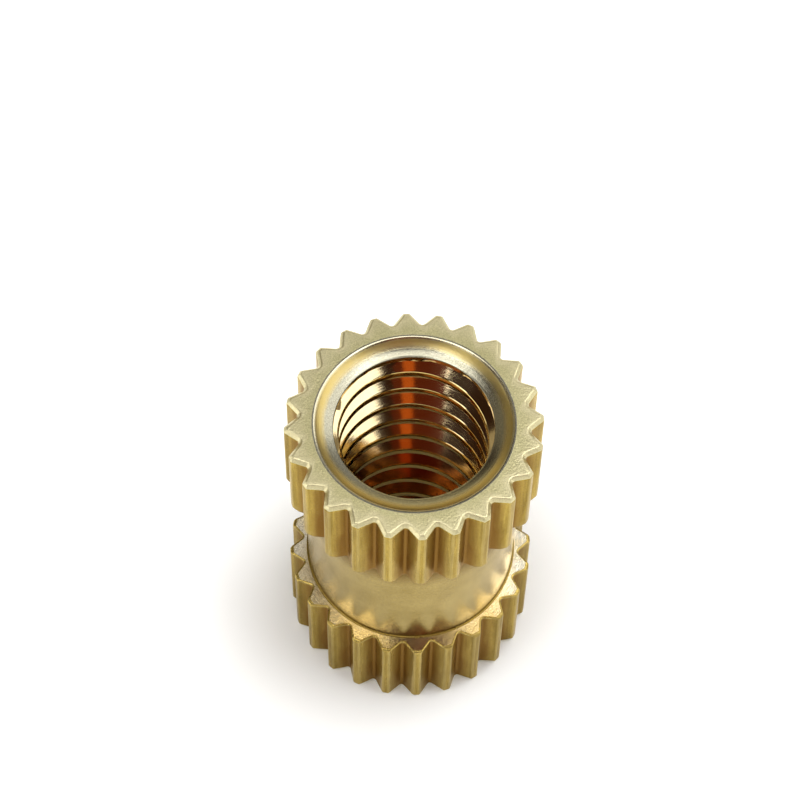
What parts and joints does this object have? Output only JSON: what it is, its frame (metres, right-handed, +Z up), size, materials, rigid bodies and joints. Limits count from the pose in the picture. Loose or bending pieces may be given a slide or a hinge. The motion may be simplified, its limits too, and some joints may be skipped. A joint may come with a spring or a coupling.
{
  "type": "threaded insert",
  "caption": "Brass threaded insert with two straight-knurled bands, a plain waist between them and a tapped through bore.",
  "frame": {"origin": "middle of the lower end face, on the bore's axis", "axes": "+Z up the bore towards the upper end face; +X through the middle of a knurl tooth"},
  "size_m": [0.0056, 0.0056, 0.0082],
  "materials": {
    "brass": "satin turned brass, brighter in the thread and the countersinks"
  },
  "bodies": {
    "root": {"insert_body": "brass"}
  },
  "joints": []
}
